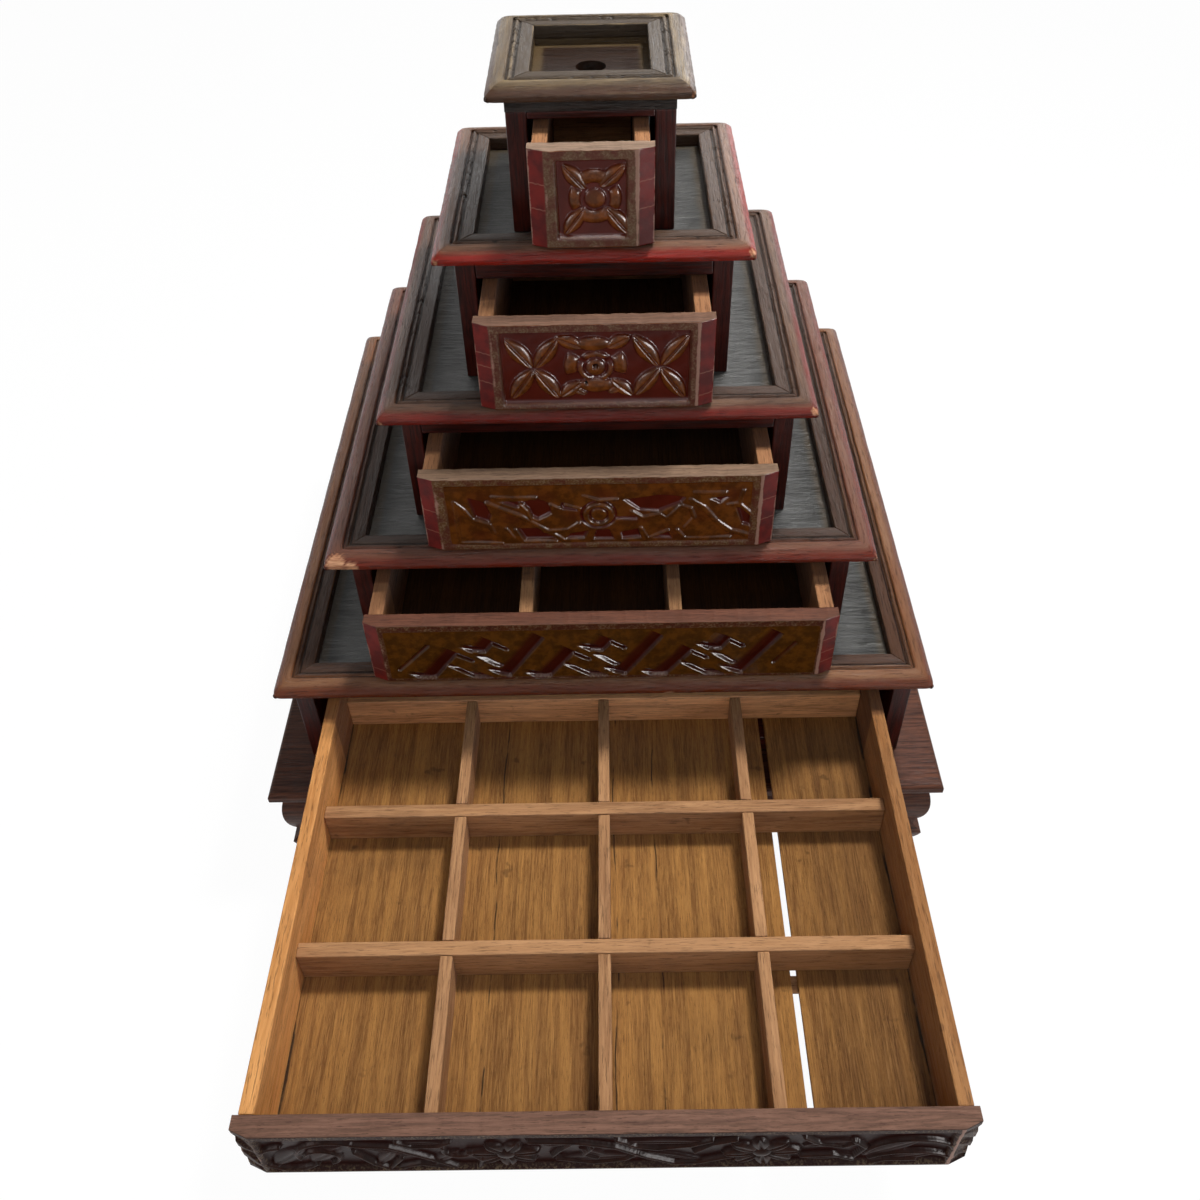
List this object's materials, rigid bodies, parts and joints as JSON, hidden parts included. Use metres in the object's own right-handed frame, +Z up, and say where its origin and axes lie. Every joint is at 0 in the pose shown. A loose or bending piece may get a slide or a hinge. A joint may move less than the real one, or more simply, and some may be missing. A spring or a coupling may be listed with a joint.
{
  "type": "apothecary chest",
  "caption": "Stepped tabletop apothecary chest: stacked casings, each with a carved sliding drawer under a moulded cornice, on a footed base; top tray with a finial hole.",
  "frame": {"origin": "on the ground, under the middle of the footprint of the whole chest with its drawers as they stand open", "axes": "+Z up; drawer fronts face -Y, so a drawer opens along -Y; +X to the right of someone facing the drawers"},
  "size_m": [0.408, 0.622, 0.442],
  "materials": {
    "outer_lacquer": "dark reddish-brown lacquer, grey sheen on the worn edges",
    "panel_lacquer": "grey-black lacquer with fine cracks and dust",
    "casing_lacquer": "dark maroon lacquer",
    "base_lacquer": "dark brown lacquer",
    "carved_lacquer": "red-brown varnished carving, glossy",
    "side_wood": "bare tan wood",
    "floor_wood": "bare golden-brown wood with long grain",
    "divider_wood": "bare brown wood"
  },
  "bodies": {
    "chest": {"base_ledge": "base_lacquer", "feet": "base_lacquer", "aprons": "base_lacquer", "casing_sides_1": "casing_lacquer", "casing_back_1": "casing_lacquer", "casing_floor_1": "casing_lacquer", "casing_rail_1": "casing_lacquer", "top_panel_1": "panel_lacquer", "cornice_1": "outer_lacquer", "casing_sides_2": "casing_lacquer", "casing_back_2": "casing_lacquer", "casing_floor_2": "casing_lacquer", "casing_rail_2": "casing_lacquer", "top_panel_2": "panel_lacquer", "cornice_2": "outer_lacquer", "casing_sides_3": "casing_lacquer", "casing_back_3": "casing_lacquer", "casing_floor_3": "casing_lacquer", "casing_rail_3": "casing_lacquer", "top_panel_3": "panel_lacquer", "cornice_3": "outer_lacquer", "casing_sides_4": "casing_lacquer", "casing_back_4": "casing_lacquer", "casing_floor_4": "casing_lacquer", "casing_rail_4": "casing_lacquer", "top_panel_4": "panel_lacquer", "cornice_4": "outer_lacquer", "casing_sides_5": "casing_lacquer", "casing_back_5": "casing_lacquer", "casing_floor_5": "casing_lacquer", "casing_rail_5": "casing_lacquer", "top_panel_5": "panel_lacquer", "cornice_5": "outer_lacquer"},
    "drawer_1": {"drawer_front_1": "carved_lacquer", "drawer_sides_1": "side_wood", "drawer_back_1": "side_wood", "drawer_bottom_1": "floor_wood", "cross_dividers": "divider_wood", "long_dividers": "divider_wood", "drawer_batten": "divider_wood"},
    "drawer_2": {"drawer_front_2": "carved_lacquer", "drawer_sides_2": "side_wood", "drawer_back_2": "side_wood", "drawer_bottom_2": "floor_wood", "tall_dividers": "divider_wood"},
    "drawer_3": {"drawer_front_3": "carved_lacquer", "drawer_sides_3": "side_wood", "drawer_back_3": "side_wood", "drawer_bottom_3": "floor_wood"},
    "drawer_4": {"drawer_front_4": "carved_lacquer", "drawer_sides_4": "side_wood", "drawer_back_4": "side_wood", "drawer_bottom_4": "floor_wood"},
    "drawer_5": {"drawer_front_5": "carved_lacquer", "drawer_sides_5": "side_wood", "drawer_back_5": "side_wood", "drawer_bottom_5": "floor_wood"}
  },
  "joints": [
    {"name": "drawer_1_slide", "type": "slide", "parent": "chest", "child": "drawer_1", "axis": [0, -1, 0], "range_m": [-0.239, 0.03]},
    {"name": "drawer_2_slide", "type": "slide", "parent": "chest", "child": "drawer_2", "axis": [0, -1, 0], "range_m": [-0.042, 0.14]},
    {"name": "drawer_3_slide", "type": "slide", "parent": "chest", "child": "drawer_3", "axis": [0, -1, 0], "range_m": [-0.037, 0.1]},
    {"name": "drawer_4_slide", "type": "slide", "parent": "chest", "child": "drawer_4", "axis": [0, -1, 0], "range_m": [-0.042, 0.055]},
    {"name": "drawer_5_slide", "type": "slide", "parent": "chest", "child": "drawer_5", "axis": [0, -1, 0], "range_m": [-0.032, 0.028]}
  ]
}
